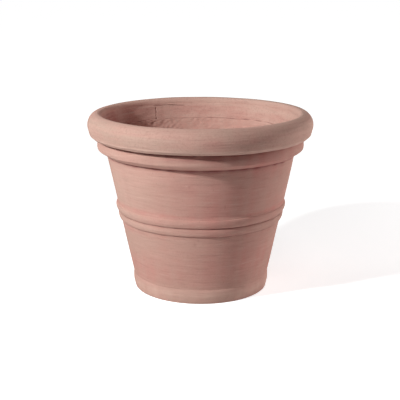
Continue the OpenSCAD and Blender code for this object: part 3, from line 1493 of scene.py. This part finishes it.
@dataclass(frozen=True)
class Studio:
    """Camera at the photograph's viewing angle, soft lamps, pale floor and white surroundings."""

    camera_y: float = -2.0515
    camera_z: float = 0.7191
    axis_shift: float = -1.7 * MM
    pitch_down: float = 14.35
    lens_mm: float = 84.08
    sensor_mm: float = 36.0
    clip_end: float = 100.0
    floor_half: float = 30.0
    floor_paint: Colour = (0.8, 0.8, 0.8, 1.0)
    floor_glow: Span = Span(0.9, 2.4, 0.66, 1.0)
    under_foot: Span = Span(0.115, 0.140, ease=Ease.LINEAR)
    aim: tuple[float, float, float] = (0.0, 0.0, 0.2)
    lamps: tuple[Lamp, ...] = (
        Lamp("key_lamp", -54.5, 31.5, 60.5, (0.925, 1.0, 0.995), width=0.18),
        Lamp("fill_lamp", 109.0, 5.0, 39.0, (1.0, 0.96, 0.95)),
        Lamp("top_lamp", 20.0, 60.0, 9.0, (1.0, 0.87, 0.87)),
        Lamp("front_lamp", 34.0, 22.0, 1.6),
        Lamp("back_lamp", -120.0, 45.0, 5.0, (0.96, 0.97, 1.0)),
    )

    def camera(self) -> None:
        """Places the camera."""
        data = bpy.data.cameras.new("camera")
        data.lens = self.lens_mm
        data.sensor_width = self.sensor_mm
        data.clip_end = self.clip_end
        camera = bpy.data.objects.new("camera", data)
        camera.location = (self.axis_shift, self.camera_y, self.camera_z)
        camera.rotation_euler = (math.radians(90.0 - self.pitch_down), 0.0, 0.0)
        bpy.context.scene.collection.objects.link(camera)
        bpy.context.scene.camera = camera

    @staticmethod
    def seen(g: Graph) -> Socket:
        """1 for rays from the camera, through glass or off gloss, and 0 for the rest.

        Args:
            g: the node tree that asks.

        Returns:
            The share.
        """
        path = g.node("LightPath").outputs
        total = path["Is Camera Ray"]
        for name in ("Is Glossy Ray", "Is Transmission Ray"):
            total = g.math("MAXIMUM", total, path[name])
        return total

    def world(self) -> None:
        """White surroundings to the eye, and no light of their own on the pot."""
        world = bpy.data.worlds.new("studio")
        g = Graph(world, "OutputWorld")
        sky = g.node("Background", {"Color": WHITE, "Strength": self.seen(g)})
        g.put(g.surface, sky.outputs[0])
        bpy.context.scene.world = world

    def floor(self) -> None:
        """Pale floor that keeps the pot's shadow."""
        h = self.floor_half
        mesh = bpy.data.meshes.new("floor")
        mesh.from_pydata([(-h, -h, 0), (h, -h, 0), (h, h, 0), (-h, h, 0)], [], [(0, 1, 2, 3)])
        floor = bpy.data.objects.new("floor", mesh)
        bpy.context.scene.collection.objects.link(floor)
        material = bpy.data.materials.new("pale_floor")
        g = Graph(material, "OutputMaterial")
        away = g.node("VectorMath", {0: g.place()}, operation="LENGTH").outputs["Value"]
        clear = g.times(self.seen(g), g.span(away, self.under_foot))
        strength = g.times(clear, g.span(away, self.floor_glow))
        paint = g.node("BsdfDiffuse", {"Color": self.floor_paint})
        glow = g.node("Emission", {"Color": WHITE, "Strength": strength})
        both = g.node("AddShader", {0: paint.outputs[0], 1: glow.outputs[0]})
        g.put(g.surface, both.outputs[0])
        mesh.materials.append(material)

    def build(self) -> None:
        """Sets up camera, lamps, world and floor."""
        bpy.context.scene.view_settings.view_transform = "Standard"
        self.camera()
        self.world()
        self.floor()
        for lamp in self.lamps:
            lamp.build(self.aim)


def scattered_dents(seed: int, count: int, turn: Range, rise: Range) -> list[Dent]:
    """Small knocks and lumps spread over a part of the outside.

    Args:
        seed: seed of the draws.
        count: how many there are.
        turn: first and last direction in degrees.
        rise: lowest and highest level.

    Returns:
        The marks.
    """
    rng = np.random.default_rng(seed)
    return [
        Dent(degrees=rng.uniform(*turn), z=rng.uniform(*rise), half_w=rng.uniform(2.8, 6.5) * MM,
             half_h=rng.uniform(1.6, 3.2) * MM, depth=rng.uniform(-0.32, 0.36) * MM,
             tone=rng.uniform(-0.30, 0.28))
        for _ in range(count)
    ]


def pot_dents() -> list[Dent]:
    """Dents and lumps of the outside.

    Returns:
        Those that the photo shows, then made-up ones behind.
    """
    return [
        Dent(-98.2, 0.2746, 3.2 * MM, 1.8 * MM, -0.35 * MM, -0.35),
        Dent(-96.8, 0.2715, 3.0 * MM, 2.0 * MM, 0.30 * MM, 0.15),
        Dent(-74.8, 0.2254, 0.8 * MM, 4.2 * MM, 0.40 * MM, 0.35),
        Dent(-94.1, 0.1416, 3.0 * MM, 2.4 * MM, 0.25 * MM, 0.28),
        Dent(-91.6, 0.1514, 2.8 * MM, 2.0 * MM, 0.20 * MM, 0.20),
        *scattered_dents(81, 18, (-40.0, 220.0), (0.05, 0.33)),
    ]


def pot_seams(s: PotSizes) -> list[RingSeam | StripSeam]:
    """Marks of the joints inside.

    Args:
        s: the pot's shared sizes.

    Returns:
        Those in the mouth and the waist, the crack's two parts, and that of the strip's ends.
    """
    return [
        RingSeam(s.seam_z, 0.9 * MM, 0.75 * MM, 51, strength=0.50),
        RingSeam(s.lap_z, 0.9 * MM, 0.8 * MM, 54, strength=0.8),
        RingSeam(0.3808, 0.9 * MM, 0.75 * MM, 57, 0.4 * MM, 100.0, 122.5, 2.0 * MM, 0.9),
        RingSeam(0.3822, 0.4 * MM, 0.7 * MM, 63, 0.4 * MM, 122.0, 139.0, -0.8 * MM, 0.35),
        StripSeam(121.2, s.seam_z, s.neck_top_z, 1.5 * MM, 0.85 * MM, 61, -0.9),
    ]


def pot_tones(s: PotSizes) -> dict[Tone, list[ToneRing]]:
    """Where the clay is paler, darker or rosier, partly as painted highlights and shade.

    Args:
        s: the pot's shared sizes.

    Returns:
        The rings of each tone.
    """
    band_h = node_heights("foot_band")[1]
    bead_z = node_heights("lower_waist_bead")[0]
    cove_z = node_heights("upper_waist_bead")[1]
    rim_z, rim_out, neck_r = s.rim_z, s.out(s.rim_z), s.inner(0.36)
    return {
        Tone.PALE: [
            # Painted highlights where light catches the rim's arris and the band's top edge,
            # painted floor light on the slope under the rim's right, a paler crown that is partly
            # wear and partly painted light from above, and a paler foot band.
            ToneRing(s.rim_r - 4.5 * MM, rim_z + 6.4 * MM, 3.2 * MM, 1.0),
            ToneRing(s.rim_r - 9.0 * MM, rim_z + 2.4 * MM, 3.0 * MM, 1.0, -40.0, 60.0),
            ToneRing(s.out(band_h) + 1 * MM, band_h - 2 * MM, 3 * MM, 0.35),
            ToneRing(s.out(0) + 6 * MM, 17 * MM, 14 * MM, 0.8),
            ToneRing(s.crown_r - 3 * MM, s.crown_z, 10 * MM, 0.55),
            # Painted light: paler where light falls on the rim's right and the wall's lit left.
            ToneRing(s.rim_r, 0.375, 24 * MM, 0.50, -14.0, 30.0),
            ToneRing(s.out(0.25), 0.25, 80 * MM, 0.40, -152.0, 24.0),
        ],
        Tone.STAIN_AND_SHADE: [
            # Painted shade in the crevices, where shadow falls: under the rim, on the collar's top
            # in the rim's shadow, under the collar, beside the beads.
            ToneRing(rim_out + 8 * MM, rim_z - 0.5 * MM, 5.5 * MM, 0.60),
            ToneRing(rim_out + 8 * MM, rim_z - 1 * MM, 6 * MM, 1.0, -112.0, 64.0),
            ToneRing(rim_out + 13 * MM, rim_z - 8 * MM, 9 * MM, 0.50, -90.0, 24.0),
            ToneRing(s.out(s.shoulder_z) + 1 * MM, s.shoulder_z - 1 * MM, 4.6 * MM, 1.0),
            ToneRing(s.out(s.waist_z) + 1 * MM, s.waist_z, 2.2 * MM, 0.45),
            ToneRing(s.out(bead_z) + 1 * MM, bead_z, 2.2 * MM, 0.50),
            # Painted shade: inside the neck on its shaded left, and a slight darkening of the
            # rim's lit left.
            ToneRing(s.rim_r, 0.37, 30 * MM, 0.10, -165.0, 30.0),
            ToneRing(neck_r, 0.36, 36 * MM, 0.14, 160.0, 34.0),
        ],
        Tone.ROSY: [
            # Painted shade in the corner above the upper bead and under the lower one, rosier clay
            # at the foot and under the joint inside, and painted shade colour inside the neck's
            # shaded left.
            ToneRing(s.out(cove_z), cove_z - 1 * MM, 6 * MM, 0.90),
            ToneRing(s.out(bead_z), bead_z - 6 * MM, 7 * MM, 0.50),
            ToneRing(s.out(62 * MM), 62 * MM, 32 * MM, 0.45),
            ToneRing(s.inner(s.seam_z), s.seam_z - 26 * MM, 25 * MM, 0.55),
            ToneRing(neck_r, 0.36, 36 * MM, 1.0, 158.0, 34.0),
            # Painted shade colour: a rosy blush down the front, deepest where the key light falls
            # off and in the shadows on and under the collar, from the rim to the lower wall,
            # partly the clay's own rosier tone.
            ToneRing(s.rim_r, 0.37, 34 * MM, 0.45, -74.0, 34.0),
            ToneRing(rim_out + 14 * MM, rim_z - 8 * MM, 12 * MM, 1.0, -68.0, 40.0),
            ToneRing(s.out(0.31) + 8 * MM, 0.31, 38 * MM, 1.0, -60.0, 34.0),
            ToneRing(s.out(s.shoulder_z), s.shoulder_z - 4 * MM, 14 * MM, 1.0, -84.0, 36.0),
            ToneRing(s.out(0.22), 0.22, 90 * MM, 0.85, -78.0, 34.0),
            ToneRing(s.out(0.09), 0.09, 60 * MM, 0.72, -62.0, 50.0),
            # Made-up patches behind.
            ToneRing(s.out(0.24), 0.24, 60 * MM, 0.50, 40.0, 28.0),
            ToneRing(s.out(0.11), 0.11, 60 * MM, 0.50, 118.0, 34.0),
            ToneRing(s.rim_r, 0.36, 32 * MM, 0.40, 165.0, 30.0),
        ],
    }


def main() -> None:
    """Builds the pot's members in order, then the studio."""
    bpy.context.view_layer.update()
    sizes = PotSizes.read()
    turner = Turner(HandMarks(sizes, pot_dents(), pot_seams(sizes), pot_tones(sizes)))
    outer, inner = SMOOTH_CLAY.coat(), INNER_CLAY.coat()
    Foot(sizes, turner).build(outer, inner)
    Wall(sizes, turner).build(outer)
    WaistBeads(sizes, turner).build(outer)
    Collar(sizes, turner).build(outer)
    Rim(sizes, turner).build(RIM_CLAY.coat(), inner)
    Studio().build()
    LOG.info("planter built")


if __name__ == "__main__":
    main()
